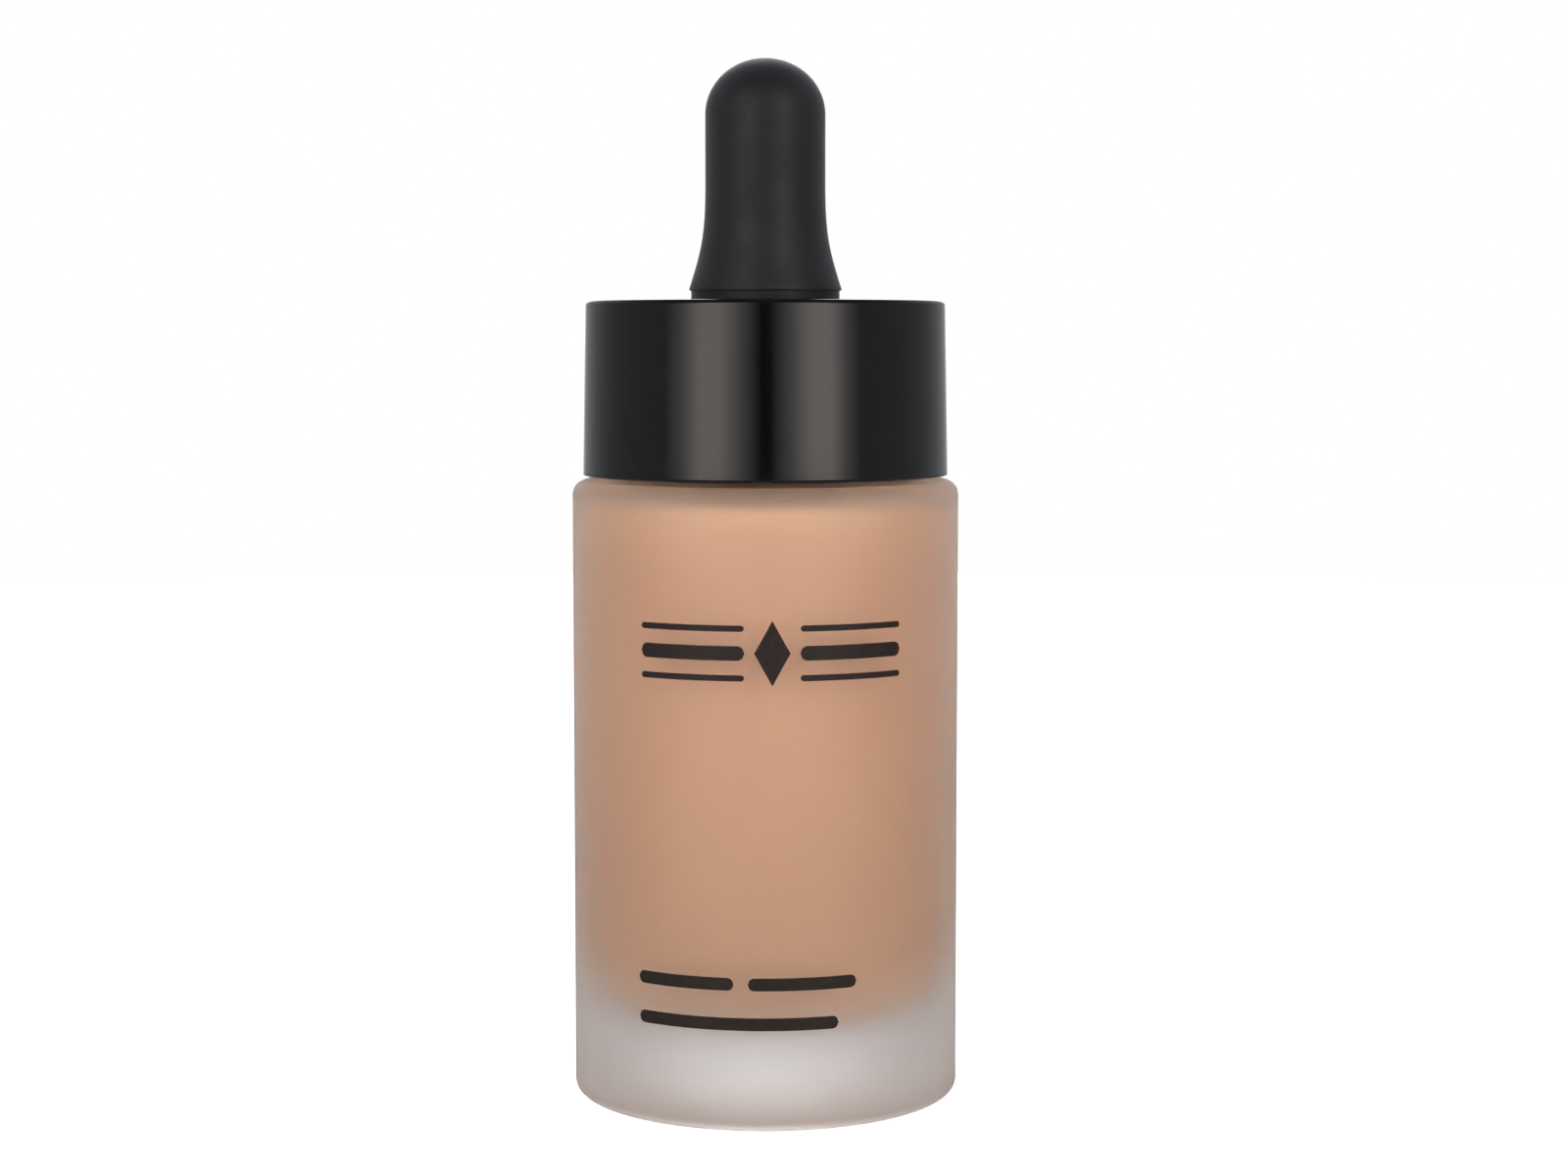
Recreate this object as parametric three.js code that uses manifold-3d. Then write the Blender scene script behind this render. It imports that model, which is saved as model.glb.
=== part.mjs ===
// A frosted glass foundation bottle closed by a screw-on dropper.
// Millimetres, +Z up. The origin is the centre of the ring that the bottle stands on.
import * as THREE from "three";
import { mergeVertices } from "three/addons/utils/BufferGeometryUtils.js";
import Module from "manifold-3d";

const wasm = await Module();
wasm.setup();

// ---------- driving dimensions ----------

const GAP = 0.3; // clearance between neighbouring pieces

// bottle body
const BODY_RADIUS = 18;
const SHOULDER_Z = 57.6;
const SIDE_WALL = 3.2;
const SHOULDER_WALL = 1.6;
const BASE_THICKNESS = 8.4;
const BASE_DISH = 1; // the floor of the cavity dips this much at its centre
const BASE_ROUNDING = 1;
const SHOULDER_ROUNDING = 1.4;
const CAVITY_FLOOR_ROUNDING = 5.5;
const CAVITY_TOP_ROUNDING = 0.7;
const PUNT_RADIUS = 12.4; // the recess under the base
const PUNT_DEPTH = 0.8;
const CAVITY_RADIUS = BODY_RADIUS - SIDE_WALL;
const CAVITY_TOP = SHOULDER_Z - SHOULDER_WALL;

// neck and its thread
const NECK_RADIUS = 8.8; // at the thread's root
const NECK_TOP = 66;
const NECK_BORE = 6.2;
const GLASS_EDGE = 0.4; // the rounding of the rim and the other small glass edges
const THREAD_LEAD = 3;
const THREAD_HEIGHT = 1;
const THREAD_CREST_HALF = 0.45; // half the crest's width
const THREAD_SLOPE = 0.35; // how much each flank leans, per millimetre of height
const THREAD_ROOTED = 0.4; // how deep the ridge's foot is sunk in its wall
const THREAD_START_Z = 60.4;
const NECK_TURNS = 1.25;
const CAP_THREAD_FROM = 0.17; // turns, counted from where the neck thread starts
const CAP_THREAD_TURNS = 1.1;
const RUN_OUT_TURNS = 0.2; // each end of a ridge grows out of its wall over this share of a turn
const SUNKEN_SHARE = 0.2; // the share of a ridge's height at its very ends, which lie inside the wall

// the stack inside the cap, upwards from the neck
const WIPER_FOOT_Z = SHOULDER_Z;
const WIPER_FLANGE = 0.6;
const WASHER_THICKNESS = 0.8;
const HOLDER_FLANGE = 1;
const BULB_FLANGE = 1.2;
const INNER_CAP_TOP = 1.4;
const COLLAR_TOP = 1.4;
const FLANGE_RADIUS = 8.4;

const WIPER_FLANGE_Z = NECK_TOP + GAP;
const WASHER_Z = WIPER_FLANGE_Z + WIPER_FLANGE + GAP;
const HOLDER_FLANGE_Z = WASHER_Z + WASHER_THICKNESS + GAP;
const BULB_FLANGE_Z = HOLDER_FLANGE_Z + HOLDER_FLANGE + GAP;
const INNER_CAP_TOP_Z = BULB_FLANGE_Z + BULB_FLANGE + GAP;
const COLLAR_TOP_Z = INNER_CAP_TOP_Z + INNER_CAP_TOP + GAP;
const CAP_TOP = COLLAR_TOP_Z + COLLAR_TOP;

// collar and inner cap
const COLLAR_BOTTOM_Z = 58;
const COLLAR_BOTTOM_RADIUS = 17.1;
const COLLAR_TOP_RADIUS = 16.8;
const COLLAR_INSIDE_RADIUS = 15.4;
const COLLAR_LEAD_IN = 0.6; // the chamfer inside the collar's mouth
const COLLAR_TOP_ROUNDING = 0.5;
const INNER_CAP_BOTTOM_Z = 58.3;
const INNER_CAP_RADIUS = 12;
const RIB_COUNT = 8;
const RIB_THICKNESS = 1.2;
const RIB_REACH = COLLAR_INSIDE_RADIUS - GAP;
const RIB_BOTTOM_Z = 60;
const RIB_ROOTED = 0.4; // how deep a rib is sunk in the inner cap's wall
const MOULDED_EDGE = 0.3; // the rounding of a moulded edge

// rubber bulb
const TOTAL_HEIGHT = 96.5;
const BARREL_RADIUS = 5.57;
const BELL_RADIUS = 7.08;
const BELL_BOTTOM_Z = CAP_TOP + 0.9;
const RING_RADIUS = 6.9; // the ring under the bell, which hides the collar's hole
const RING_BOTTOM_Z = CAP_TOP + GAP;
const BELL_HEIGHT = 10; // from its foot to where the barrel is straight
const BELL_SWEEP = 1.1; // how far the bell's lower curve draws in
const BARREL_BOTTOM_Z = BELL_BOTTOM_Z + BELL_HEIGHT;
const DOME_HEIGHT = 5.2;
const WAIST_RADIUS = 6.3;
const WAIST_BORE = 4.9;
const RUBBER_WALL = 1.4;

// pipette and its holder
const PIPETTE_RADIUS = 3.5;
const PIPETTE_BORE = 2.6;
const PIPETTE_TOP_Z = 74.6;
const TAPER_TOP_Z = 22;
const TIP_Z = 12.5;
const TIP_RADIUS = 1.7;
const TIP_BORE = 0.9;
const HOLDER_STEM_RADIUS = WAIST_BORE - GAP;
const HOLDER_LIP = 0.7; // the stop over the pipette's top end
const TIP_BEND = 8; // the bend of the glass where the taper starts
const SLEEVE_BORE = PIPETTE_RADIUS + GAP; // the clearance hole of every ring that the pipette passes

// contents and label
const LIQUID_TOP_Z = CAVITY_TOP - 0.8;
const MENISCUS = 0.6; // the rounding of the foundation's top edge under the shoulder
const LABEL_RADIUS = 11.2;
const LABEL_THICKNESS = 0.15;

// how finely round shapes are divided
const WIDE_SEGMENTS = 40;
const NARROW_SEGMENTS = 24;
const ARC_STEP = Math.PI / 6; // the largest turn between two points of a rounded corner
const CURVE_STEPS = 6;
const THREAD_STEPS_PER_TURN = 32;

// ---------- outlines ----------

// The arc that rounds the corner between two straight edges, as points.
function roundedCorner(before, corner, after, rounding) {
  const back = before.clone().sub(corner).normalize();
  const ahead = after.clone().sub(corner).normalize();
  const half = back.angleTo(ahead) / 2;
  const reach = rounding / Math.tan(half);
  const centre = back.clone().add(ahead).normalize().multiplyScalar(rounding / Math.sin(half)).add(corner);
  const start = corner.clone().addScaledVector(back, reach).sub(centre).angle();
  const end = corner.clone().addScaledVector(ahead, reach).sub(centre).angle();
  const clockwise = back.cross(ahead) > 0;
  const steps = Math.ceil((Math.PI - 2 * half) / ARC_STEP);
  const arc = new THREE.EllipseCurve(centre.x, centre.y, rounding, rounding, start, end, clockwise);
  return arc.getPoints(steps);
}

// An outline from its corners, each [radius, height] or [radius, height, rounding].
// It is closed into a ring unless it starts on the axis, where it then ends too.
function outline(corners) {
  const points = corners.map(([radius, height]) => new THREE.Vector2(radius, height));
  const onAxis = points[0].x === 0;
  const count = points.length;
  const made = corners.flatMap(([, , rounding], i) => {
    if (!rounding) return [points[i]];
    return roundedCorner(points[(i + count - 1) % count], points[i], points[(i + 1) % count], rounding);
  });
  return onAxis ? made : [...made, made[0].clone()];
}

// Turns an outline about the Z axis. The outline runs up its outer side.
function turned(points, segments) {
  return new THREE.LatheGeometry(points, segments).rotateX(Math.PI / 2);
}

// ---------- joining and cutting ----------

// A closed geometry as a solid that can be joined and cut.
function solid(geometry) {
  const bare = geometry.clone();
  bare.deleteAttribute("normal");
  bare.deleteAttribute("uv");
  const merged = mergeVertices(bare);
  return new wasm.Manifold(
    new wasm.Mesh({
      numProp: 3,
      vertProperties: merged.attributes.position.array,
      triVerts: new Uint32Array(merged.index.array),
    }),
  );
}

// The geometry of a solid.
function geometryOf(made) {
  const { vertProperties, triVerts } = made.getMesh();
  const geometry = new THREE.BufferGeometry();
  geometry.setAttribute("position", new THREE.BufferAttribute(vertProperties, 3));
  geometry.setIndex(new THREE.BufferAttribute(triVerts, 1));
  const flat = geometry.toNonIndexed();
  flat.computeVertexNormals();
  return flat;
}

// ---------- thread ----------

// A right-hand ridge wound about Z. Its foot is sunk in the wall at rootRadius, and it points
// outwards or inwards.
function threadRidge({ rootRadius, outwards, startZ, turns, startTurn }) {
  const foot = -THREAD_ROOTED;
  const footHalf = THREAD_CREST_HALF + THREAD_SLOPE * (THREAD_HEIGHT + THREAD_ROOTED);
  const facing = outwards ? 1 : -1;
  const section = new THREE.Shape([
    new THREE.Vector2(-footHalf * facing, foot * facing),
    new THREE.Vector2(footHalf * facing, foot * facing),
    new THREE.Vector2(THREAD_CREST_HALF * facing, THREAD_HEIGHT * facing),
    new THREE.Vector2(-THREAD_CREST_HALF * facing, THREAD_HEIGHT * facing),
  ]);
  const ridge = new THREE.ExtrudeGeometry(section, {
    depth: turns,
    steps: Math.round(turns * THREAD_STEPS_PER_TURN),
    bevelEnabled: false,
  });
  const position = ridge.attributes.position;
  for (let i = 0; i < position.count; i += 1) {
    const along = position.getZ(i);
    const ramp = Math.min(1, along / RUN_OUT_TURNS, (turns - along) / RUN_OUT_TURNS);
    const share = THREE.MathUtils.lerp(SUNKEN_SHARE, 1, THREE.MathUtils.smoothstep(ramp, 0, 1));
    const rise = (position.getY(i) - foot * facing) * share + foot * facing;
    const angle = 2 * Math.PI * (startTurn + along);
    const radius = rootRadius + rise;
    const height = startZ + THREAD_LEAD * (startTurn + along) + position.getX(i) * share;
    position.setXYZ(i, radius * Math.cos(angle), radius * Math.sin(angle), height);
  }
  return ridge;
}

// ---------- the pieces of the bottle ----------

function glassBottle() {
  const blank = turned(
    outline([
      [0, PUNT_DEPTH],
      [PUNT_RADIUS, PUNT_DEPTH, GLASS_EDGE],
      [PUNT_RADIUS + PUNT_DEPTH, 0, GLASS_EDGE],
      [BODY_RADIUS, 0, BASE_ROUNDING],
      [BODY_RADIUS, SHOULDER_Z, SHOULDER_ROUNDING],
      [NECK_RADIUS, SHOULDER_Z, GLASS_EDGE],
      [NECK_RADIUS, NECK_TOP, GLASS_EDGE],
      [NECK_BORE, NECK_TOP, GLASS_EDGE],
      [NECK_BORE, CAVITY_TOP, GLASS_EDGE],
      [CAVITY_RADIUS, CAVITY_TOP, CAVITY_TOP_ROUNDING],
      [CAVITY_RADIUS, BASE_THICKNESS, CAVITY_FLOOR_ROUNDING],
      [0, BASE_THICKNESS - BASE_DISH],
    ]),
    WIDE_SEGMENTS,
  );
  const thread = threadRidge({
    rootRadius: NECK_RADIUS,
    outwards: true,
    startZ: THREAD_START_Z,
    turns: NECK_TURNS,
    startTurn: 0,
  });
  return geometryOf(solid(blank).add(solid(thread)));
}

// The foundation fills the cavity up to LIQUID_TOP_Z, around the pipette.
function foundationLiquid() {
  const radius = CAVITY_RADIUS - GAP;
  const floor = BASE_THICKNESS + GAP;
  return turned(
    outline([
      [0, floor - BASE_DISH],
      [radius, floor, CAVITY_FLOOR_ROUNDING - GAP],
      [radius, LIQUID_TOP_Z, MENISCUS],
      [SLEEVE_BORE, LIQUID_TOP_Z],
      [SLEEVE_BORE, TAPER_TOP_Z],
      [TIP_RADIUS + GAP, TIP_Z - GAP],
      [0, TIP_Z - GAP],
    ]),
    WIDE_SEGMENTS,
  );
}

// A sleeve in the neck's bore, hung from a flange on the rim, with a wiping lip at its foot.
function neckWiper() {
  const sleeve = NECK_BORE - GAP;
  const wall = 0.8;
  const lipHeight = 1.4;
  const lipZ = WIPER_FOOT_Z + lipHeight;
  return turned(
    outline([
      [SLEEVE_BORE, WIPER_FOOT_Z],
      [SLEEVE_BORE + wall, WIPER_FOOT_Z],
      [sleeve, lipZ],
      [sleeve, WIPER_FLANGE_Z],
      [FLANGE_RADIUS, WIPER_FLANGE_Z],
      [FLANGE_RADIUS, WIPER_FLANGE_Z + WIPER_FLANGE],
      [sleeve - wall, WIPER_FLANGE_Z + WIPER_FLANGE, MOULDED_EDGE],
      [sleeve - wall, lipZ + wall / 2],
      [SLEEVE_BORE, WIPER_FOOT_Z + wall],
    ]),
    WIDE_SEGMENTS,
  );
}

// A round sticker in the recess under the base.
function shadeLabel() {
  const top = PUNT_DEPTH - GAP;
  return turned(
    outline([
      [0, top - LABEL_THICKNESS],
      [LABEL_RADIUS, top - LABEL_THICKNESS],
      [LABEL_RADIUS, top],
      [0, top],
    ]),
    NARROW_SEGMENTS,
  );
}

// ---------- the pieces of the cap ----------

function outerCollar() {
  const hole = WAIST_RADIUS + GAP;
  return turned(
    outline([
      [COLLAR_INSIDE_RADIUS, COLLAR_BOTTOM_Z + COLLAR_LEAD_IN],
      [COLLAR_INSIDE_RADIUS + COLLAR_LEAD_IN, COLLAR_BOTTOM_Z],
      [COLLAR_BOTTOM_RADIUS, COLLAR_BOTTOM_Z, MOULDED_EDGE],
      [COLLAR_TOP_RADIUS, CAP_TOP, COLLAR_TOP_ROUNDING],
      [hole, CAP_TOP, MOULDED_EDGE],
      [hole, COLLAR_TOP_Z],
      [COLLAR_INSIDE_RADIUS, COLLAR_TOP_Z],
    ]),
    WIDE_SEGMENTS,
  );
}

// One upright rib between the inner cap's wall and the collar.
function driveRib(index) {
  const length = RIB_REACH - INNER_CAP_RADIUS + RIB_ROOTED;
  const height = INNER_CAP_TOP_Z + INNER_CAP_TOP - RIB_BOTTOM_Z;
  return new THREE.BoxGeometry(length, RIB_THICKNESS, height)
    .translate(RIB_REACH - length / 2, 0, RIB_BOTTOM_Z + height / 2)
    .rotateZ((2 * Math.PI * index) / RIB_COUNT);
}

function innerCap() {
  const threadRoot = NECK_RADIUS + THREAD_HEIGHT + GAP;
  const chamber = FLANGE_RADIUS + GAP; // holds the washer, the holder's flange and the bulb's flange
  const chamberZ = NECK_TOP + GAP;
  const top = INNER_CAP_TOP_Z + INNER_CAP_TOP;
  const hole = WAIST_RADIUS + GAP;
  const blank = turned(
    outline([
      [threadRoot, INNER_CAP_BOTTOM_Z],
      [INNER_CAP_RADIUS, INNER_CAP_BOTTOM_Z, MOULDED_EDGE],
      [INNER_CAP_RADIUS, top, MOULDED_EDGE],
      [hole, top],
      [hole, INNER_CAP_TOP_Z],
      [chamber, INNER_CAP_TOP_Z],
      [chamber, chamberZ],
      [threadRoot, chamberZ],
    ]),
    WIDE_SEGMENTS,
  );
  const thread = threadRidge({
    rootRadius: threadRoot,
    outwards: false,
    startZ: THREAD_START_Z - THREAD_LEAD / 2, // midway between the turns of the neck's ridge
    turns: CAP_THREAD_TURNS,
    startTurn: CAP_THREAD_FROM,
  });
  const ribs = Array.from({ length: RIB_COUNT }, (_, i) => driveRib(i));
  return geometryOf([thread, ...ribs].reduce((made, piece) => made.add(solid(piece)), solid(blank)));
}

// Flange, waist, ring, bell and barrel in one rubber moulding, hollow and open below.
function rubberBulb() {
  const domeZ = TOTAL_HEIGHT - DOME_HEIGHT;
  const innerRadius = BARREL_RADIUS - RUBBER_WALL;
  const flangeTopZ = BULB_FLANGE_Z + BULB_FLANGE;
  const ceiling = new THREE.EllipseCurve(
    0, domeZ, innerRadius, DOME_HEIGHT - RUBBER_WALL, Math.PI / 2, 0, true,
  );
  const hollow = new THREE.CubicBezierCurve(
    new THREE.Vector2(innerRadius, BARREL_BOTTOM_Z),
    new THREE.Vector2(innerRadius, BELL_BOTTOM_Z + 0.5 * BELL_HEIGHT),
    new THREE.Vector2(WAIST_BORE, BELL_BOTTOM_Z + 0.5 * BELL_HEIGHT),
    new THREE.Vector2(WAIST_BORE, BELL_BOTTOM_Z + 0.2 * BELL_HEIGHT),
  );
  const flange = [
    new THREE.Vector2(WAIST_BORE, BULB_FLANGE_Z),
    new THREE.Vector2(FLANGE_RADIUS, BULB_FLANGE_Z),
    new THREE.Vector2(FLANGE_RADIUS, flangeTopZ),
    new THREE.Vector2(WAIST_RADIUS, flangeTopZ),
    new THREE.Vector2(WAIST_RADIUS, RING_BOTTOM_Z),
    new THREE.Vector2(RING_RADIUS, RING_BOTTOM_Z),
    new THREE.Vector2(RING_RADIUS, BELL_BOTTOM_Z),
  ];
  const bell = new THREE.CubicBezierCurve(
    new THREE.Vector2(BELL_RADIUS, BELL_BOTTOM_Z + BELL_RADIUS - RING_RADIUS),
    new THREE.Vector2(BELL_RADIUS - BELL_SWEEP, BELL_BOTTOM_Z + 0.37 * BELL_HEIGHT),
    new THREE.Vector2(BARREL_RADIUS, BELL_BOTTOM_Z + 0.5 * BELL_HEIGHT),
    new THREE.Vector2(BARREL_RADIUS, BARREL_BOTTOM_Z),
  );
  const dome = new THREE.EllipseCurve(0, domeZ, BARREL_RADIUS, DOME_HEIGHT, 0, Math.PI / 2);
  const points = [
    ...ceiling.getPoints(CURVE_STEPS),
    ...hollow.getPoints(CURVE_STEPS),
    ...flange,
    ...bell.getPoints(CURVE_STEPS),
    ...dome.getPoints(CURVE_STEPS),
  ];
  return turned(points, NARROW_SEGMENTS);
}

// ---------- the pieces of the dropper ----------

// A plug: a flange under the bulb's flange, and a stem that fills the bulb's mouth.
function pipetteHolder() {
  const lipZ = PIPETTE_TOP_Z + GAP;
  return turned(
    outline([
      [SLEEVE_BORE, HOLDER_FLANGE_Z],
      [FLANGE_RADIUS, HOLDER_FLANGE_Z],
      [FLANGE_RADIUS, HOLDER_FLANGE_Z + HOLDER_FLANGE],
      [HOLDER_STEM_RADIUS, HOLDER_FLANGE_Z + HOLDER_FLANGE],
      [HOLDER_STEM_RADIUS, lipZ + HOLDER_LIP, MOULDED_EDGE],
      [PIPETTE_BORE, lipZ + HOLDER_LIP],
      [PIPETTE_BORE, lipZ],
      [SLEEVE_BORE, lipZ],
    ]),
    NARROW_SEGMENTS,
  );
}

function glassPipette() {
  return turned(
    outline([
      [TIP_BORE, TIP_Z],
      [TIP_RADIUS, TIP_Z, GLASS_EDGE],
      [PIPETTE_RADIUS, TAPER_TOP_Z, TIP_BEND],
      [PIPETTE_RADIUS, PIPETTE_TOP_Z, GLASS_EDGE],
      [PIPETTE_BORE, PIPETTE_TOP_Z],
      [PIPETTE_BORE, TAPER_TOP_Z, TIP_BEND],
    ]),
    NARROW_SEGMENTS,
  );
}

// A foam ring between the wiper's flange and the holder's flange.
function sealingWasher() {
  return turned(
    outline([
      [SLEEVE_BORE, WASHER_Z],
      [FLANGE_RADIUS, WASHER_Z],
      [FLANGE_RADIUS, WASHER_Z + WASHER_THICKNESS],
      [SLEEVE_BORE, WASHER_Z + WASHER_THICKNESS],
    ]),
    NARROW_SEGMENTS,
  );
}

// The foundation inside the pipette stands as high as the foundation around it.
function pipetteLiquid() {
  return turned(
    outline([
      [0, TIP_Z + GAP],
      [TIP_BORE - GAP, TIP_Z + GAP],
      [PIPETTE_BORE - GAP, TAPER_TOP_Z, TIP_BEND],
      [PIPETTE_BORE - GAP, LIQUID_TOP_Z],
      [0, LIQUID_TOP_Z],
    ]),
    NARROW_SEGMENTS,
  );
}

// ---------- the assembly ----------

function piece(name, geometry, look) {
  const mesh = new THREE.Mesh(geometry, new THREE.MeshStandardMaterial(look));
  mesh.name = name;
  return mesh;
}

const FROSTED_GLASS = { color: 0xd8cfc6, roughness: 0.55, metalness: 0, transparent: true, opacity: 0.5 };
const CLEAR_GLASS = { color: 0xe8eeee, roughness: 0.05, metalness: 0, transparent: true, opacity: 0.35 };
const FOUNDATION = { color: 0xd9a687, roughness: 0.35, metalness: 0 };
const GLOSSY_BLACK = { color: 0x0b0b0c, roughness: 0.12, metalness: 0 };
const MATTE_BLACK = { color: 0x1a1a1b, roughness: 0.6, metalness: 0 };
const BLACK_RUBBER = { color: 0x242526, roughness: 0.7, metalness: 0 };
const NATURAL_PLASTIC = { color: 0xe9e7e0, roughness: 0.5, metalness: 0 };
const WHITE_FOAM = { color: 0xf2f0ea, roughness: 0.9, metalness: 0 };
const WHITE_PAPER = { color: 0xf4f2ee, roughness: 0.8, metalness: 0 };

const bottleGroup = new THREE.Group();
bottleGroup.add(
  piece("glass_bottle", glassBottle(), FROSTED_GLASS),
  piece("foundation_liquid", foundationLiquid(), FOUNDATION),
  piece("neck_wiper", neckWiper(), NATURAL_PLASTIC),
  piece("shade_label", shadeLabel(), WHITE_PAPER),
);

const capGroup = new THREE.Group();
capGroup.add(
  piece("outer_collar", outerCollar(), GLOSSY_BLACK),
  piece("inner_cap", innerCap(), MATTE_BLACK),
  piece("rubber_bulb", rubberBulb(), BLACK_RUBBER),
);

const dropperGroup = new THREE.Group();
dropperGroup.add(
  piece("pipette_holder", pipetteHolder(), NATURAL_PLASTIC),
  piece("glass_pipette", glassPipette(), CLEAR_GLASS),
  piece("pipette_liquid", pipetteLiquid(), FOUNDATION),
  piece("sealing_washer", sealingWasher(), WHITE_FOAM),
);

const foundationBottle = new THREE.Group();
foundationBottle.add(bottleGroup, capGroup, dropperGroup);

export default foundationBottle;
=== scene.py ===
"""The looks of a frosted glass foundation bottle with a screw-on dropper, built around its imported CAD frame.

Lengths are named in millimetres and turned into metres where the meshes are made. The front faces -Y.
"""

import math

import bpy
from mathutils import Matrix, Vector
from mathutils.geometry import interpolate_bezier


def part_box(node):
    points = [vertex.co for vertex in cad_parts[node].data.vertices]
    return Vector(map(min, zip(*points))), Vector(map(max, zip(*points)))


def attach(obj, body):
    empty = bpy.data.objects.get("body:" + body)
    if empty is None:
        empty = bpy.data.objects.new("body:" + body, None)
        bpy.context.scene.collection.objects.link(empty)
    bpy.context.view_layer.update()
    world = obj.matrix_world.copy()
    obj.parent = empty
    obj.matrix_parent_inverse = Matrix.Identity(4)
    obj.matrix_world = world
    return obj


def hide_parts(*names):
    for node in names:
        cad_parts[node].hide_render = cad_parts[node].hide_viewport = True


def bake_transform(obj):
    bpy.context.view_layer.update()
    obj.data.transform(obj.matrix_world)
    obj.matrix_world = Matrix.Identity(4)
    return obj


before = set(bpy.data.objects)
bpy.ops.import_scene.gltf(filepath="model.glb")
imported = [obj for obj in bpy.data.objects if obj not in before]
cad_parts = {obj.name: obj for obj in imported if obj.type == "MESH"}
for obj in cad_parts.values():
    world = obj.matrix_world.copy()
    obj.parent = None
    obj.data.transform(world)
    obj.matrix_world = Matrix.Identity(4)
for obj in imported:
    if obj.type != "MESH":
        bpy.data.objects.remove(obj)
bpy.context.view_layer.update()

MM = 0.001
TURN = 2 * math.pi
TINY = 1e-6  # what counts as nothing when two lengths are compared

# ---------- sizes read from the frame, in millimetres ----------


def low(node):
    """The lowest corner of a CAD node's box."""
    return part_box(node)[0] / MM


def high(node):
    """The highest corner of a CAD node's box."""
    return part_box(node)[1] / MM


BODY_RADIUS = high("glass_bottle").x
NECK_TOP = high("glass_bottle").z
LIQUID_TOP = high("foundation_liquid").z
FLANGE_RADIUS = high("neck_wiper").x
WIPER_FOOT = low("neck_wiper").z
WIPER_TOP = high("neck_wiper").z
LABEL_RADIUS = high("shade_label").y
LABEL_LOW = low("shade_label").z
LABEL_TOP = high("shade_label").z
COLLAR_BOTTOM = low("outer_collar").z
COLLAR_TOP = high("outer_collar").z
COLLAR_RADIUS = high("outer_collar").x
INNER_CAP_BOTTOM = low("inner_cap").z
INNER_CAP_TOP = high("inner_cap").z
RIB_REACH = high("inner_cap").x
BULB_BOTTOM = low("rubber_bulb").z
BULB_TOP = high("rubber_bulb").z
HOLDER_BOTTOM = low("pipette_holder").z
HOLDER_TOP = high("pipette_holder").z
PIPETTE_RADIUS = high("glass_pipette").x
PIPETTE_TOP = high("glass_pipette").z
PIPETTE_TIP = low("glass_pipette").z
WASHER_BOTTOM = low("sealing_washer").z
WASHER_TOP = high("sealing_washer").z

# ---------- sizes that the frame's boxes don't give, in millimetres ----------

GAP = 0.3  # clearance between neighbouring pieces, as in the CAD
CONTACT = 0.04  # what is left between the bulb and the collar that it sits on

# bottle
SHOULDER = WIPER_FOOT
SHOULDER_ROUNDING = 1.4
BASE_ROUNDING = 1.0
CAVITY_RADIUS = high("foundation_liquid").x + GAP
SHOULDER_WALL = 1.6
CAVITY_TOP = SHOULDER - SHOULDER_WALL
CAVITY_FLOOR = 8.4
CAVITY_DISH = 1.0  # how far the cavity's floor sinks to its middle
CAVITY_FLOOR_ROUNDING = 5.5
CAVITY_TOP_ROUNDING = 0.7
PUNT_RADIUS = 12.4  # the recess under the base
PUNT_DEPTH = LABEL_TOP + GAP
NECK_RADIUS = 8.8
NECK_BORE = 6.2
GLASS_EDGE = 0.4

# wiper
WIPER_WALL = 0.8
WIPER_NOSE = 1.4  # the height over which the wiper widens from its hole to the neck
WIPER_BEND = 0.4
WIPER_FLANGE = 0.6

# thread
THREAD_LEAD = 3.0
THREAD_HEIGHT = 1.0
THREAD_CREST_HALF = 0.45
THREAD_SLOPE = 0.35  # how far a flank runs for each millimetre that it rises
THREAD_START = 60.4
NECK_TURNS = 1.25
CAP_THREAD_FROM = 0.17  # in turns, as are the next two
CAP_THREAD_TURNS = 1.1
RUN_OUT_TURNS = 0.2
THREAD_ROW = 0.12  # height of one row of faces along a threaded wall
BARREL_ROW = 0.5  # the same along the bulb's barrel

# cap
PLATE = 1.4  # thickness of the collar's and the inner cap's top
COLLAR_DRAFT = 0.3  # how much the collar narrows to its top
COLLAR_INSIDE = 15.4
COLLAR_LEAD_IN = 0.6  # the chamfer inside the collar's mouth
COLLAR_TOP_ROUNDING = 0.5
INNER_CAP_RADIUS = 12.0
RIB_COUNT = 8
RIB_THICKNESS = 1.2
RIB_BOTTOM = 60.0
RIB_ROOT = 0.4  # how deep a rib reaches into the inner cap's wall
MOULDED_EDGE = 0.3
SOFT_EDGE = 0.2
CRISP_EDGE = 0.1
FIRE_POLISH = 0.35  # the rounding of the pipette's ends
PAPER_EDGE = 0.03

# bulb
BARREL_RADIUS = 5.57
BELL_RADIUS = 7.08
BELL_BOTTOM = COLLAR_TOP + 0.9
BELL_HEIGHT = 10.0  # from the bell's foot to where the barrel is straight
BELL_SWEEP = 1.1  # how far the bell's lower curve draws in
BELL_SWEEP_SHARE = 0.37  # how far up the bell that is
BELL_LIP = 0.07
DOME_HEIGHT = 5.2
RING_RADIUS = 6.9  # the ring under the bell, which hides the collar's hole
WAIST_RADIUS = 6.3
WAIST_BORE = 4.9
BULB_FLANGE = 1.2
RUBBER_WALL = 1.4

# dropper
PIPETTE_BORE = 2.6
TAPER_TOP = 22.0
TIP_RADIUS = 1.7
TIP_BORE = 0.9
TIP_BEND = 8.0
HOLDER_FLANGE = 1.0
HOLDER_LIP = 0.7
MENISCUS = 0.6  # how far the drawn foundation sags in the middle of the pipette
MENISCUS_EDGE = 0.1  # what is left between its edge and the wall of the bore

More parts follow.
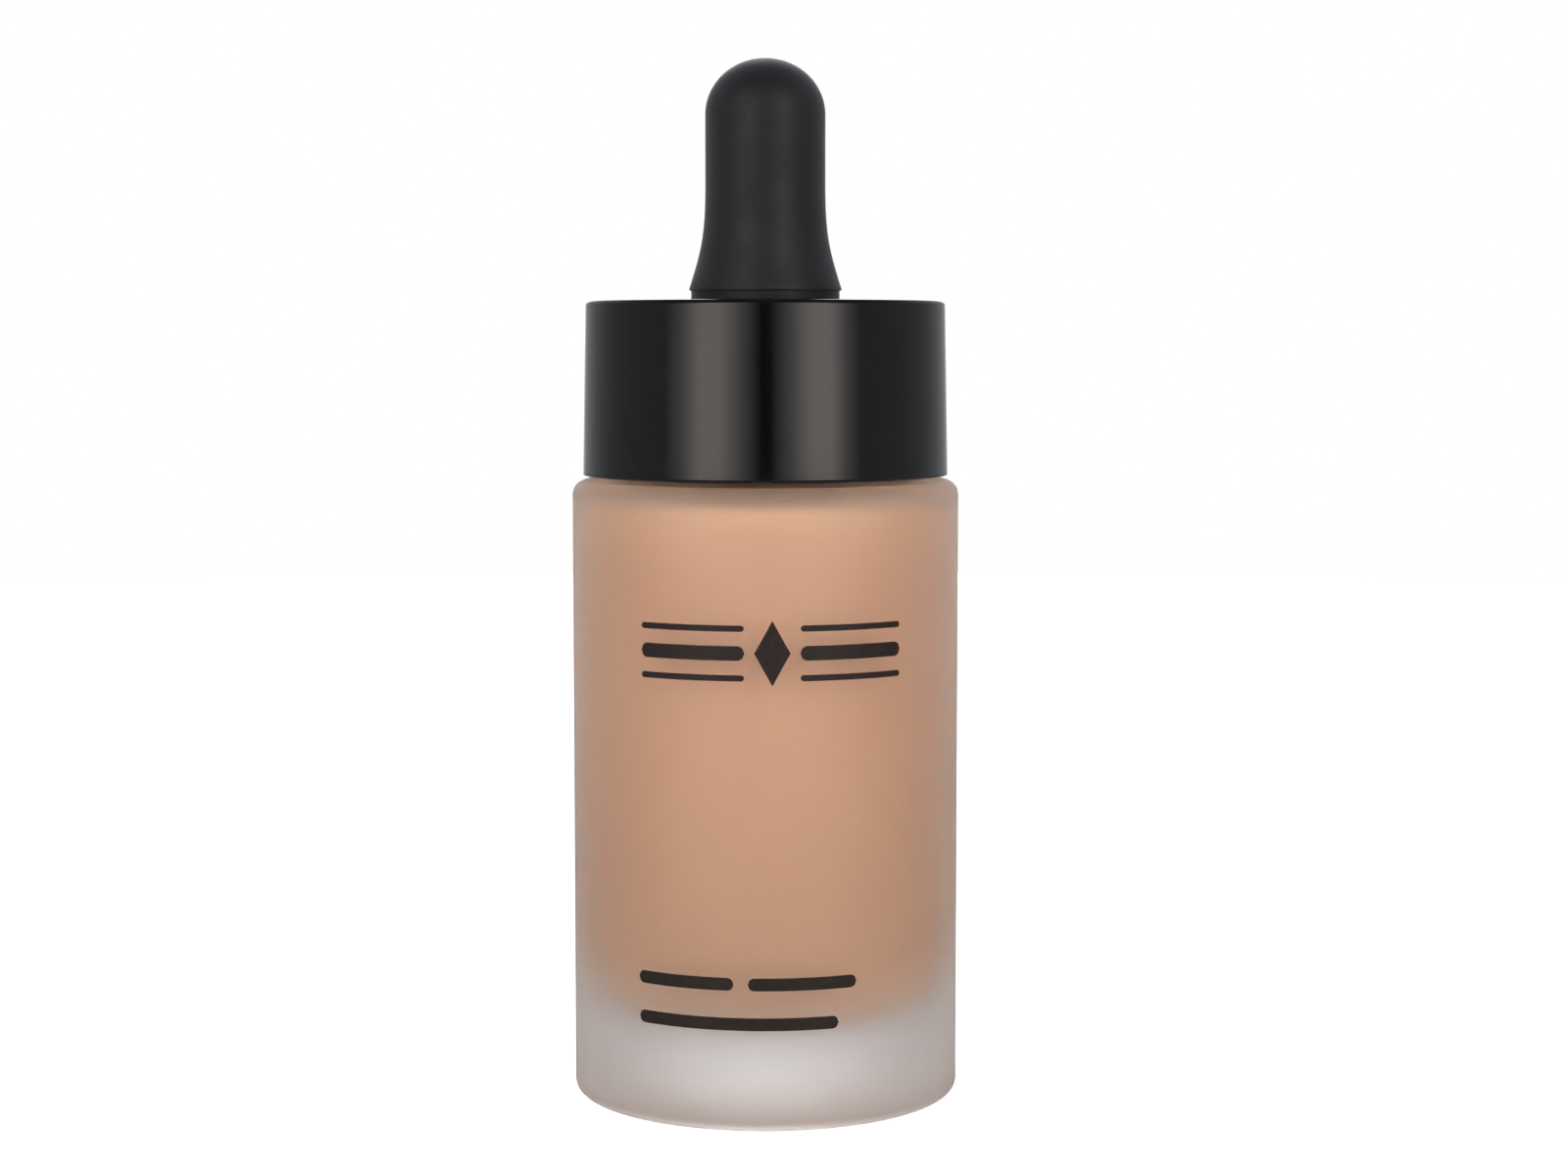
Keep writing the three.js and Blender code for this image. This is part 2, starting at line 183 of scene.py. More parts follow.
# how finely round shapes are divided
SEGMENTS = 160
ARC_STEP = math.radians(9)
CURVE_STEPS = 24
SHARP_ANGLE = math.radians(32)  # edges that turn by more than this stay sharp


# ---------- outlines and turned meshes ----------


def rounded_corner(before, corner, after, rounding):
    """The arc that rounds the corner between two straight edges, as points."""
    back = (before - corner).normalized()
    ahead = (after - corner).normalized()
    half = back.angle(ahead) / 2
    centre = corner + (back + ahead).normalized() * (rounding / math.sin(half))
    start = corner + back * (rounding / math.tan(half)) - centre
    sweep = math.pi - 2 * half
    if back.x * ahead.y - back.y * ahead.x > 0:
        sweep = -sweep
    steps = max(2, math.ceil(abs(sweep) / ARC_STEP))
    first = math.atan2(start.y, start.x)
    angles = [first + sweep * i / steps for i in range(steps + 1)]
    return [centre + rounding * Vector((math.cos(a), math.sin(a))) for a in angles]


def outline(corners):
    """An outline from its corners, each (radius, height) or (radius, height, rounding), in millimetres."""
    points = [Vector(corner[:2]) for corner in corners]
    made = []
    for i, corner in enumerate(corners):
        if len(corner) == 2:
            made.append(points[i])
            continue
        before, after = points[i - 1], points[(i + 1) % len(points)]
        made += rounded_corner(before, points[i], after, corner[2])
    return made


def straight(start, end, step):
    """Points from start up to end, both left out, no further apart than step."""
    count = math.ceil((Vector(end) - Vector(start)).length / step)
    return [Vector(start).lerp(Vector(end), i / count) for i in range(1, count)]


def arc(centre_height, radius, height, start, end):
    """Points of an ellipse centred on the axis, from one angle to another."""
    angles = [start + (end - start) * i / CURVE_STEPS for i in range(CURVE_STEPS + 1)]
    return [Vector((radius * math.cos(a), centre_height + height * math.sin(a))) for a in angles]


def bezier(*points):
    """Points of a cubic Bezier curve given by its four points."""
    flat = [Vector((r, z, 0)) for r, z in points]
    return [p.to_2d() for p in interpolate_bezier(*flat, CURVE_STEPS + 1)]


def mesh_object(name, vertices, faces):
    """A smooth-shaded object whose edges stay sharp where the faces turn by more than the sharp angle."""
    mesh = bpy.data.meshes.new(name)
    mesh.from_pydata([Vector(v) * MM for v in vertices], [], faces)
    mesh.validate()
    mesh.shade_smooth()
    mesh.set_sharp_from_angle(angle=SHARP_ANGLE)
    made = bpy.data.objects.new(name, mesh)
    bpy.context.scene.collection.objects.link(made)
    return made


def turned(name, points, swell=None):
    """Turns an outline about Z. It is a ring unless it starts and ends on the axis.
    swell, if given, says the radius at an angle, for a radius and height of the outline."""
    on_axis = points[0].x < TINY
    inner = points[1:-1] if on_axis else points
    vertices = []
    for radius, height in inner:
        for s in range(SEGMENTS):
            angle = TURN * s / SEGMENTS
            r = swell(angle, radius, height) if swell else radius
            vertices.append((r * math.cos(angle), r * math.sin(angle), height))
    rows = len(inner)
    faces = []
    for row in range(rows - 1 if on_axis else rows):
        here, above = row * SEGMENTS, (row + 1) % rows * SEGMENTS
        for s in range(SEGMENTS):
            t = (s + 1) % SEGMENTS
            faces.append((here + s, here + t, above + t, above + s))
    if on_axis:
        first, last = len(vertices), len(vertices) + 1
        vertices += [(0, 0, points[0].y), (0, 0, points[-1].y)]
        top = (rows - 1) * SEGMENTS
        for s in range(SEGMENTS):
            t = (s + 1) % SEGMENTS
            faces.append((first, t, s))
            faces.append((last, top + s, top + t))
    return mesh_object(name, vertices, faces)


# ---------- thread ----------


def thread_share(angle, height, start, first_turn, turns):
    """How far a helical ridge rises at an angle and height, from 0 to 1."""
    best = 0.0
    for whole in range(math.ceil(first_turn + turns) + 1):
        turn = angle / TURN + whole
        along = turn - first_turn
        if not 0 <= along <= turns:
            continue
        end = min(1.0, along / RUN_OUT_TURNS, (turns - along) / RUN_OUT_TURNS)
        ramp = end * end * (3 - 2 * end)  # eases in and out
        off = abs(height - start - THREAD_LEAD * turn)
        flank = THREAD_SLOPE * THREAD_HEIGHT
        ridge = 1 - (off - THREAD_CREST_HALF * ramp) / flank
        best = max(best, ramp * min(1.0, max(0.0, ridge)))
    return best


def neck_swell(angle, radius, height):
    """The neck's outer wall with its thread."""
    if abs(radius - NECK_RADIUS) > TINY:
        return radius
    return radius + THREAD_HEIGHT * thread_share(angle, height, THREAD_START, 0, NECK_TURNS)


CAP_THREAD_ROOT = NECK_RADIUS + THREAD_HEIGHT + GAP


def cap_swell(angle, radius, height):
    """The inner cap's bore with its thread, midway between the turns of the neck's ridge."""
    if abs(radius - CAP_THREAD_ROOT) > TINY:
        return radius
    start = THREAD_START - THREAD_LEAD / 2
    return radius - THREAD_HEIGHT * thread_share(
        angle, height, start, CAP_THREAD_FROM, CAP_THREAD_TURNS
    )


# ---------- the pieces ----------


def make_bottle():
    """Outer skin, threaded neck and cavity in one closed glass mesh. Its outline is made in two parts
    that leave out the neck's wall, which gets close rows of its own for the thread."""
    wall_low = (NECK_RADIUS, SHOULDER + GLASS_EDGE)
    wall_high = (NECK_RADIUS, NECK_TOP - GLASS_EDGE)
    below_neck = outline([
        (0, PUNT_DEPTH),
        (PUNT_RADIUS, PUNT_DEPTH, GLASS_EDGE),
        (PUNT_RADIUS + PUNT_DEPTH, 0, GLASS_EDGE),
        (BODY_RADIUS, 0, BASE_ROUNDING),
        (BODY_RADIUS, SHOULDER, SHOULDER_ROUNDING),
        (NECK_RADIUS, SHOULDER, GLASS_EDGE),
        (NECK_RADIUS, NECK_TOP),
    ])[:-1]
    above_neck = outline([
        (NECK_RADIUS, SHOULDER),
        (NECK_RADIUS, NECK_TOP, GLASS_EDGE),
        (NECK_BORE, NECK_TOP, GLASS_EDGE),
        (NECK_BORE, CAVITY_TOP, GLASS_EDGE),
        (CAVITY_RADIUS, CAVITY_TOP, CAVITY_TOP_ROUNDING),
        (CAVITY_RADIUS, CAVITY_FLOOR, CAVITY_FLOOR_ROUNDING),
        (0, CAVITY_FLOOR - CAVITY_DISH),
    ])[1:]
    neck_wall = straight(wall_low, wall_high, THREAD_ROW)
    return turned("frosted_bottle", below_neck + neck_wall + above_neck, neck_swell)


def make_foundation():
    """The foundation wets the cavity's wall up to its top, so it reaches a hair into the glass,
    and a film of it lines the headspace."""
    wet = 0.03
    film = 0.25
    film_hole = NECK_BORE + 2
    return turned("foundation", outline([
        (0, CAVITY_FLOOR - CAVITY_DISH - wet),
        (CAVITY_RADIUS + wet, CAVITY_FLOOR - wet, CAVITY_FLOOR_ROUNDING),
        (CAVITY_RADIUS + wet, CAVITY_TOP + wet, CAVITY_TOP_ROUNDING),
        (film_hole, CAVITY_TOP + wet, CRISP_EDGE),
        (film_hole, CAVITY_TOP - film, CRISP_EDGE),
        (CAVITY_RADIUS - film, CAVITY_TOP - film, MOULDED_EDGE),
        (CAVITY_RADIUS - film, LIQUID_TOP, MOULDED_EDGE),
        (0, LIQUID_TOP),
    ]))


def make_wiper():
    """A plug with a flange on the neck's rim and a nose that narrows to the pipette."""
    outside = NECK_BORE - GAP
    inside = outside - WIPER_WALL
    hole = PIPETTE_RADIUS + GAP
    nose = WIPER_FOOT + WIPER_NOSE
    flange = WIPER_TOP - WIPER_FLANGE
    return turned("wiper_plug", outline([
        (hole, WIPER_FOOT, CRISP_EDGE),
        (hole + WIPER_WALL, WIPER_FOOT, CRISP_EDGE),
        (outside, nose, WIPER_BEND),
        (outside, flange, CRISP_EDGE),
        (FLANGE_RADIUS, flange, SOFT_EDGE),
        (FLANGE_RADIUS, WIPER_TOP, SOFT_EDGE),
        (inside, WIPER_TOP, MOULDED_EDGE),
        (inside, nose + WIPER_WALL / 2, WIPER_BEND),
        (hole, WIPER_FOOT + WIPER_WALL, CRISP_EDGE),
    ]))


def make_label():
    """A round sticker in the recess under the base."""
    return turned("base_label", outline([
        (0, LABEL_LOW),
        (LABEL_RADIUS, LABEL_LOW, PAPER_EDGE),
        (LABEL_RADIUS, LABEL_TOP, PAPER_EDGE),
        (0, LABEL_TOP),
    ]))


def make_collar():
    """The glossy shell, which narrows a little to its top and has a hole for the bulb's waist."""
    hole = WAIST_RADIUS + GAP
    return turned("collar_shell", outline([
        (COLLAR_INSIDE, COLLAR_BOTTOM + COLLAR_LEAD_IN, CRISP_EDGE),
        (COLLAR_INSIDE + COLLAR_LEAD_IN, COLLAR_BOTTOM, CRISP_EDGE),
        (COLLAR_RADIUS, COLLAR_BOTTOM, MOULDED_EDGE),
        (COLLAR_RADIUS - COLLAR_DRAFT, COLLAR_TOP, COLLAR_TOP_ROUNDING),
        (hole, COLLAR_TOP, MOULDED_EDGE),
        (hole, COLLAR_TOP - PLATE, CRISP_EDGE),
        (COLLAR_INSIDE, COLLAR_TOP - PLATE, MOULDED_EDGE),
    ]))


def make_bulb():
    """Flange, waist, ring, bell, barrel and dome in one hollow moulding. The foot's first and last
    corners only aim its edges, so they are left out."""
    dome = BULB_TOP - DOME_HEIGHT
    inner = BARREL_RADIUS - RUBBER_WALL
    barrel = BELL_BOTTOM + BELL_HEIGHT
    middle = BELL_BOTTOM + BELL_HEIGHT / 2
    throat = BELL_BOTTOM + BELL_HEIGHT / 5
    ceiling = arc(dome, inner, DOME_HEIGHT - RUBBER_WALL, math.pi / 2, 0)
    hollow = bezier((inner, barrel), (inner, middle), (WAIST_BORE, middle), (WAIST_BORE, throat))
    ring = COLLAR_TOP + CONTACT
    foot = outline([
        (WAIST_BORE, BELL_BOTTOM),
        (WAIST_BORE, BULB_BOTTOM, SOFT_EDGE),
        (FLANGE_RADIUS, BULB_BOTTOM, SOFT_EDGE),
        (FLANGE_RADIUS, BULB_BOTTOM + BULB_FLANGE, SOFT_EDGE),
        (WAIST_RADIUS, BULB_BOTTOM + BULB_FLANGE, SOFT_EDGE),
        (WAIST_RADIUS, ring, SOFT_EDGE),
        (RING_RADIUS, ring, CRISP_EDGE),
        (RING_RADIUS, BELL_BOTTOM, BELL_LIP),
        (BELL_RADIUS, BELL_BOTTOM, BELL_LIP),
        (BELL_RADIUS, barrel),
    ])[1:-1]
    bell = bezier(
        (BELL_RADIUS, BELL_BOTTOM + BELL_RADIUS - RING_RADIUS),
        (BELL_RADIUS - BELL_SWEEP, BELL_BOTTOM + BELL_SWEEP_SHARE * BELL_HEIGHT),
        (BARREL_RADIUS, middle),
        (BARREL_RADIUS, barrel),
    )
    skin = straight((BARREL_RADIUS, barrel), (BARREL_RADIUS, dome), BARREL_ROW)
    top = arc(dome, BARREL_RADIUS, DOME_HEIGHT, 0, math.pi / 2)
    return turned("squeeze_bulb", ceiling + hollow + foot + bell + skin + top)


def make_holder():
    """The plug that holds the pipette. Its flange lies under the bulb's."""
    hole = PIPETTE_RADIUS + GAP
    stem = WAIST_BORE - GAP
    flange = HOLDER_BOTTOM + HOLDER_FLANGE
    return turned("holder_plug", outline([
        (hole, HOLDER_BOTTOM, CRISP_EDGE),
        (FLANGE_RADIUS, HOLDER_BOTTOM, SOFT_EDGE),
        (FLANGE_RADIUS, flange, SOFT_EDGE),
        (stem, flange, SOFT_EDGE),
        (stem, HOLDER_TOP, MOULDED_EDGE),
        (PIPETTE_BORE, HOLDER_TOP, CRISP_EDGE),
        (PIPETTE_BORE, HOLDER_TOP - HOLDER_LIP, CRISP_EDGE),
        (hole, HOLDER_TOP - HOLDER_LIP, CRISP_EDGE),
    ]))


def make_pipette():
    """A glass tube drawn down to a tip, with fire-polished ends."""
    return turned("pipette_tube", outline([
        (TIP_BORE, PIPETTE_TIP, SOFT_EDGE),
        (TIP_RADIUS, PIPETTE_TIP, FIRE_POLISH),
        (PIPETTE_RADIUS, TAPER_TOP, TIP_BEND),
        (PIPETTE_RADIUS, PIPETTE_TOP, FIRE_POLISH),
        (PIPETTE_BORE, PIPETTE_TOP, MOULDED_EDGE),
        (PIPETTE_BORE, TAPER_TOP, TIP_BEND),
    ]))


def make_pipette_liquid():
    """The foundation inside the pipette wets its bore and curves up at its edge."""
    wet = 0.02
    tip = PIPETTE_TIP + GAP
    edge = outline([
        (0, tip),
        (TIP_BORE + wet, tip, SOFT_EDGE),
        (PIPETTE_BORE + wet, TAPER_TOP, TIP_BEND),
        (PIPETTE_BORE + wet, LIQUID_TOP),
        (0, LIQUID_TOP),
    ])[:-1]
    rim = PIPETTE_BORE - MENISCUS_EDGE
    bottom = LIQUID_TOP - MENISCUS
    meniscus = bezier((rim, LIQUID_TOP), (rim, bottom), (rim / 2, bottom), (0, bottom))
    return turned("drawn_foundation", edge + meniscus)


def make_washer():
    """A flat foam ring between the neck's rim and the holder."""
    hole = PIPETTE_RADIUS + GAP
    return turned("foam_washer", outline([
        (hole, WASHER_BOTTOM, CRISP_EDGE),
        (FLANGE_RADIUS, WASHER_BOTTOM, CRISP_EDGE),
        (FLANGE_RADIUS, WASHER_TOP, CRISP_EDGE),
        (hole, WASHER_TOP, CRISP_EDGE),
    ]))


# ---------- inner cap: a turned wall joined with its ribs ----------


def box_object(name, size, centre, angle):
    """A box with bevelled edges, turned about Z."""
    half = Vector(size) / 2
    corners = [
        Vector((x, y, z))
        for x in (-half.x, half.x)
        for y in (-half.y, half.y)
        for z in (-half.z, half.z)
    ]
    cos, sin = math.cos(angle), math.sin(angle)
    placed = []
    for corner in corners:
        x, y, z = corner + Vector(centre)
        placed.append((x * cos - y * sin, x * sin + y * cos, z))
    sides = [(0, 1, 3, 2), (4, 6, 7, 5), (0, 4, 5, 1), (2, 3, 7, 6), (0, 2, 6, 4), (1, 5, 7, 3)]
    made = mesh_object(name, placed, sides)
    bevel = made.modifiers.new("bevel", "BEVEL")
    bevel.width = SOFT_EDGE * MM
    bevel.segments = 2
    return made


def apply_modifiers(piece):
    """Keeps what the modifiers make as the piece's own mesh."""
    graph = bpy.context.evaluated_depsgraph_get()
    made = bpy.data.meshes.new_from_object(piece.evaluated_get(graph))
    piece.modifiers.clear()
    piece.data = made


def make_inner_cap():
    """The threaded wall, with the chamber that traps the bulb's flange, and the ribs that drive it."""
    chamber = FLANGE_RADIUS + GAP
    step = NECK_TOP + GAP
    plate = INNER_CAP_TOP - PLATE
    hole = WAIST_RADIUS + GAP
    shell = outline([
        (CAP_THREAD_ROOT, INNER_CAP_BOTTOM),
        (INNER_CAP_RADIUS, INNER_CAP_BOTTOM, MOULDED_EDGE),
        (INNER_CAP_RADIUS, INNER_CAP_TOP, MOULDED_EDGE),
        (hole, INNER_CAP_TOP, SOFT_EDGE),
        (hole, plate, CRISP_EDGE),
        (chamber, plate, SOFT_EDGE),
        (chamber, step, SOFT_EDGE),
        (CAP_THREAD_ROOT, step),
    ])
    bore = straight((CAP_THREAD_ROOT, step), (CAP_THREAD_ROOT, INNER_CAP_BOTTOM), THREAD_ROW)
    wall = turned("threaded_cap", shell + bore, cap_swell)
    length = RIB_REACH - INNER_CAP_RADIUS + RIB_ROOT
    height = INNER_CAP_TOP - CRISP_EDGE - RIB_BOTTOM
    ribs = []
    for i in range(RIB_COUNT):
        centre = (RIB_REACH - length / 2, 0, RIB_BOTTOM + height / 2)
        size = (length, RIB_THICKNESS, height)
        rib = box_object(f"rib_{i}", size, centre, TURN * i / RIB_COUNT)
        ribs.append(rib)
        join = wall.modifiers.new(f"join_{i}", "BOOLEAN")
        join.operation = "UNION"
        join.solver = "EXACT"
        join.object = rib
    apply_modifiers(wall)
    wall.data.set_sharp_from_angle(angle=SHARP_ANGLE)
    for rib in ribs:
        bpy.data.objects.remove(rib)
    return wall


# ---------- generic marks in place of the print ----------

MARK_LIFT = 0.02  # how far a mark stands proud of the glass
EMBLEM_HEIGHT = 43.1
EMBLEM_SIDES = (-6.9, 8.1)  # the middles of the rules on either side of the diamond
EMBLEM_RULES = [(2.2, 0.55), (0, 1.3), (-2.2, 0.55)]  # rise above the emblem's middle, thickness
EMBLEM_LENGTH = 10.0
DIAMOND = (0.6, EMBLEM_HEIGHT, 1.6, 2.9)  # middle across, middle height, half-width, half-height
LOW_RULES = [(-7.6, 13.5, 9.4), (3.4, 13.5, 10.0), (-2.8, 9.9, 18.9)]  # middle across, height, length
LOW_THICKNESS = 1.15
DIAMOND_STEPS = 12
MARK_STEP = math.radians(0.4)
MARK_TIP = 0.02  # half the height that is left at a mark's very ends
INK_SHARE = 0.8  # how much of the lift the ink's thickness takes up


def rule_patch(vertices, faces, centre, height, length, thickness):
    """Adds one rule with rounded ends, wrapped round the bottle's front."""
    radius = BODY_RADIUS + MARK_LIFT
    count = math.ceil(length / radius / MARK_STEP)
    end = thickness / 2
    base = len(vertices)
    for i in range(count + 1):
        x = -length / 2 + length * i / count
        into_end = max(0.0, end - (length / 2 - abs(x)))
        half = math.sqrt(max(0.0, end * end - into_end * into_end))
        angle = (centre + x) / radius - math.pi / 2
        for side in (-1, 1):
            z = height + side * max(half, MARK_TIP)
            vertices.append((radius * math.cos(angle), radius * math.sin(angle), z))
    for i in range(count):
        a = base + 2 * i
        faces.append((a, a + 2, a + 3, a + 1))


def diamond_patch(vertices, faces, centre, height, half_width, half_height):
    """Adds one diamond, wrapped round the bottle's front."""
    radius = BODY_RADIUS + MARK_LIFT
    base = len(vertices)
    for i in range(DIAMOND_STEPS + 1):
        x = half_width * (2 * i / DIAMOND_STEPS - 1)
        half = max(MARK_TIP, half_height * (1 - abs(x) / half_width))
        angle = (centre + x) / radius - math.pi / 2
        for z in (height - half, height + half):
            vertices.append((radius * math.cos(angle), radius * math.sin(angle), z))
    for i in range(DIAMOND_STEPS):
        a = base + 2 * i
        faces.append((a, a + 2, a + 3, a + 1))


def make_marks():
    """All the marks as one thin coat of ink on the glass."""
    vertices, faces = [], []
    for middle in EMBLEM_SIDES:
        for rise, thickness in EMBLEM_RULES:
            rule_patch(vertices, faces, middle, EMBLEM_HEIGHT + rise, EMBLEM_LENGTH, thickness)
    for rule in LOW_RULES:
        rule_patch(vertices, faces, *rule, LOW_THICKNESS)
    diamond_patch(vertices, faces, *DIAMOND)
    marks = mesh_object("printed_rules", vertices, faces)
    solidify = marks.modifiers.new("ink", "SOLIDIFY")
    solidify.thickness = MARK_LIFT * INK_SHARE * MM
    solidify.offset = -1
    apply_modifiers(marks)
    marks.data.set_sharp_from_angle(angle=SHARP_ANGLE)
    return marks


# ---------- materials ----------

# A noise stays mostly between these two values, so ramps and ranges run from the one to the other.
NOISE_LOW = 0.3
NOISE_HIGH = 0.7


class Nodes:
    """A node tree, with short ways to add and link nodes."""

    def __init__(self, tree):
        self.tree = tree

    def add(self, kind, **settings):
        """Adds a node and sets its properties."""
        node = self.tree.nodes.new(kind)
        for key, value in settings.items():
            setattr(node, key, value)
        return node

    def link(self, source, target):
        """Joins an output to an input."""
        self.tree.links.new(source, target)

    def spread(self, value, low_value, high_value, start=NOISE_LOW, end=NOISE_HIGH, **settings):
        """Maps a value between start and end to a range."""
        node = self.add("ShaderNodeMapRange", **settings)
        node.inputs["From Min"].default_value = start
        node.inputs["From Max"].default_value = end
        node.inputs["To Min"].default_value = low_value
        node.inputs["To Max"].default_value = high_value
        self.link(value, node.inputs["Value"])
        return node.outputs["Result"]

    def colours(self, value, *stops):
        """A colour ramp, each stop (position, (r, g, b))."""
        node = self.add("ShaderNodeValToRGB")
        ramp = node.color_ramp
        while len(ramp.elements) < len(stops):
            ramp.elements.new(0.5)
        for element, (position, colour) in zip(ramp.elements, stops):
            element.position = position
            element.color = (*colour, 1)
        self.link(value, node.inputs["Fac"])
        return node.outputs["Color"]

    def between(self, value, first, second):
        """A colour between two, by a noise."""
        return self.colours(value, (NOISE_LOW, first), (NOISE_HIGH, second))


class Shader(Nodes):
    """A material's nodes, which lead into its own Principled shader."""

    def __init__(self, name):
        self.material = bpy.data.materials.new(name)
        self.material.use_nodes = True
        super().__init__(self.material.node_tree)
        self.principled = self.tree.nodes["Principled BSDF"]
        self.place = self.add("ShaderNodeTexCoord").outputs["Object"]

    def set(self, **values):
        """Sets the shader's own sockets, with _ for a space in a socket's name."""
        for key, value in values.items():
            self.principled.inputs[key.replace("_", " ")].default_value = value

    def noise(self, scale, detail=4.0, roughness=0.5, stretch=(1, 1, 1)):
        """Noise in object space. scale is in features per metre."""
        mapping = self.add("ShaderNodeMapping")
        mapping.inputs["Scale"].default_value = stretch
        self.link(self.place, mapping.inputs["Vector"])
        node = self.add("ShaderNodeTexNoise")
        node.inputs["Scale"].default_value = scale
        node.inputs["Detail"].default_value = detail
        node.inputs["Roughness"].default_value = roughness
        self.link(mapping.outputs["Vector"], node.inputs["Vector"])
        return node.outputs["Fac"]

    def bump(self, height, distance, strength, under=None):
        """Bump of a height field, over another bump if one is given. distance is in millimetres."""
        node = self.add("ShaderNodeBump")
        node.inputs["Strength"].default_value = strength
        node.inputs["Distance"].default_value = distance * MM
        self.link(height, node.inputs["Height"])
        if under is not None:
            self.link(under, node.inputs["Normal"])
        return node.outputs["Normal"]

    def height_of(self, low_z, high_z):
        """Height in object space as a 0 to 1 share of a range in millimetres."""
        split = self.add("ShaderNodeSeparateXYZ")
        self.link(self.place, split.inputs["Vector"])
        return self.spread(split.outputs["Z"], 0.0, 1.0, low_z * MM, high_z * MM)

    def into(self, socket, source):
        """Links a value to one of the shader's own sockets."""
        self.link(source, self.principled.inputs[socket])


def frosted_glass():
    """Acid-etched glass: rough enough to blur what is behind it, with a fine grain."""
    s = Shader("frosted_glass")
    s.set(IOR=1.5, Transmission_Weight=0.94)
    mottle = s.noise(260, detail=5, roughness=0.55)
    s.into("Base Color", s.between(mottle, (0.97, 0.965, 0.96), (0.99, 0.985, 0.98)))
    s.into("Roughness", s.spread(s.noise(900, detail=3), 0.59, 0.67))
    s.into("Normal", s.bump(s.noise(5200, detail=2, roughness=0.6), 0.01, 0.5))
    return s.material


def foundation_cream():
    """Foundation, lighter at the very bottom and top of the bottle as painted light, with faint upright
    streaks.
    """
    s = Shader("foundation_cream")
    height = s.height_of(CAVITY_FLOOR, LIQUID_TOP)
    # The colour by height is painted light: lighter towards the top as if lit from above, and lighter at the
    # very bottom, where its curved underside is in shade.
    painted_light_by_height = s.colours(
        height,
        (0.0, (0.98, 0.66, 0.46)),
        (0.12, (0.77, 0.455, 0.265)),
        (0.5, (0.85, 0.50, 0.29)),
        (0.85, (0.88, 0.51, 0.30)),
        (1.0, (0.99, 0.59, 0.35)),
    )
    streaks = s.noise(120, detail=4, roughness=0.6, stretch=(1, 1, 0.35))
    mix = s.add("ShaderNodeMix", data_type="RGBA", blend_type="MULTIPLY")
    mix.inputs["Factor"].default_value = 1.0
    s.link(painted_light_by_height, mix.inputs["A"])
    s.link(s.between(streaks, (0.95, 0.94, 0.93), (1, 1, 1)), mix.inputs["B"])
    s.into("Base Color", mix.outputs["Result"])
    s.set(Roughness=0.35, Subsurface_Weight=0.15, Subsurface_Scale=0.002)
    s.set(Subsurface_Radius=(1.0, 0.5, 0.3))
    return s.material


def glossy_black():
    """Polished moulded plastic with soft waves, faint smears and fine upright scuffs."""
    s = Shader("glossy_black")
    s.set(IOR=1.42)
    s.into("Base Color", s.between(s.noise(300), (0.0025, 0.0027, 0.0042), (0.004, 0.0042, 0.0058)))
    smears = s.noise(60, detail=5, roughness=0.6, stretch=(1, 1, 0.3))
    s.into("Roughness", s.spread(smears, 0.08, 0.12))
    waves = s.bump(s.noise(220, detail=2), 0.02, 0.25)
    scuffs = s.noise(2600, detail=3, roughness=0.7, stretch=(1, 1, 0.05))
    s.into("Normal", s.bump(scuffs, 0.002, 0.3, waves))
    return s.material


def black_rubber():
    """Satin rubber with a cloudy bloom and a fine grain."""
    s = Shader("black_rubber")
    s.set(IOR=1.34, Sheen_Weight=0.2, Sheen_Roughness=0.5, Sheen_Tint=(0.86, 0.92, 1, 1))
    bloom = s.noise(90, detail=6, roughness=0.62)
    s.into("Base Color", s.between(bloom, (0.004, 0.0045, 0.008), (0.008, 0.0085, 0.013)))
    s.into("Roughness", s.spread(s.noise(420, detail=4), 0.44, 0.54))
    grain = s.bump(s.noise(3800, detail=3, roughness=0.6), 0.012, 0.55)
    s.into("Normal", s.bump(s.noise(240, detail=3), 0.03, 0.3, grain))
    return s.material


def matte_black():
    """The inner cap's plain moulded plastic."""
    s = Shader("matte_black")
    s.into("Base Color", s.between(s.noise(200), (0.014, 0.014, 0.015), (0.02, 0.02, 0.021)))
    s.into("Roughness", s.spread(s.noise(500), 0.42, 0.55))
    s.into("Normal", s.bump(s.noise(4200, detail=2), 0.01, 0.5))
    return s.material


def natural_plastic():
    """Uncoloured, slightly translucent polyethylene."""
    s = Shader("natural_plastic")
    s.into("Base Color", s.between(s.noise(150), (0.82, 0.81, 0.77), (0.88, 0.87, 0.84)))
    s.into("Roughness", s.spread(s.noise(500), 0.34, 0.46))
    s.into("Normal", s.bump(s.noise(3000, detail=2), 0.01, 0.4))
    s.set(Subsurface_Weight=0.35, Subsurface_Scale=0.003, Subsurface_Radius=(1.0, 0.95, 0.85))
    return s.material


def clear_glass():
    """The pipette's clear glass, slightly uneven from drawing."""
    s = Shader("clear_glass")
    s.set(IOR=1.5, Transmission_Weight=1.0)
    s.into("Base Color", s.between(s.noise(80), (0.95, 0.975, 0.97), (0.98, 0.99, 0.985)))
    s.into("Roughness", s.spread(s.noise(700), 0.0, 0.03))
    s.into("Normal", s.bump(s.noise(150, detail=2), 0.01, 0.2))
    return s.material


def white_foam():
    """Closed-cell foam with its cells showing."""
    s = Shader("white_foam")
    cells = s.add("ShaderNodeTexVoronoi")
    cells.inputs["Scale"].default_value = 2600
    s.link(s.place, cells.inputs["Vector"])
    shade = s.colours(cells.outputs["Distance"], (0.0, (0.74, 0.73, 0.70)), (0.6, (0.90, 0.89, 0.86)))
    s.into("Base Color", shade)
    s.into("Roughness", s.spread(s.noise(900), 0.8, 0.95))
    s.into("Normal", s.bump(cells.outputs["Distance"], 0.12, 0.8))
    return s.material


